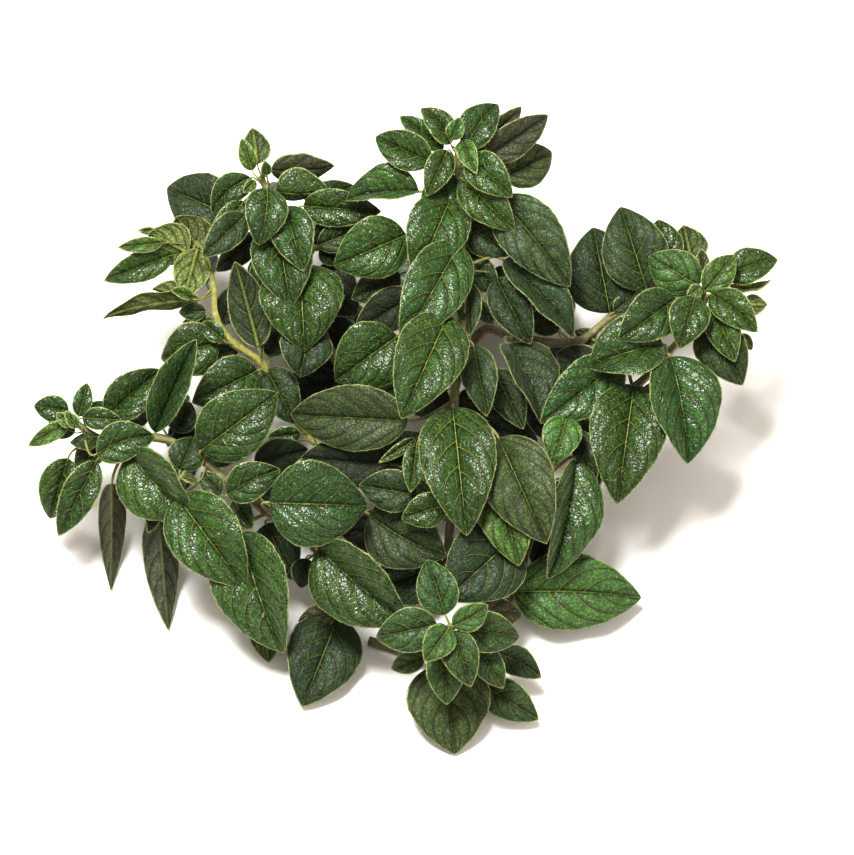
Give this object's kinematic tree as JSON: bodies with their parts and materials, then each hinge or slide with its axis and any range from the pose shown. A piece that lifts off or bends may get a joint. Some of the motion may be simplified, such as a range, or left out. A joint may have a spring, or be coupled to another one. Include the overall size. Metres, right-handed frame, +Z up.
{
  "type": "bundle of fresh oregano sprigs",
  "caption": "Loose bundle of fresh cut oregano sprigs with oval leaves in pairs, lying on its leaves on a flat surface.",
  "frame": {"origin": "on the surface the bundle lies on, under the middle of its bounding box", "axes": "+X towards the right-hand leaves, along the bundle's width; +Y away from the cut ends, towards the sprig tips; +Z up"},
  "size_m": [0.1876, 0.1575, 0.0613],
  "materials": {
    "sprig_top": "fresh green leaf",
    "sprig_upper_left": "fresh green leaf",
    "sprig_pale": "fresh yellow-green leaf",
    "sprig_left": "fresh green leaf",
    "sprig_right": "fresh green leaf",
    "sprig_back_right": "fresh green leaf",
    "sprig_front": "fresh green leaf"
  },
  "bodies": {
    "root": {"sprig_top": "sprig_top", "sprig_upper_left": "sprig_upper_left", "sprig_pale": "sprig_pale", "sprig_left": "sprig_left", "sprig_right": "sprig_right", "sprig_back_right": "sprig_back_right", "sprig_front": "sprig_front"}
  },
  "joints": []
}
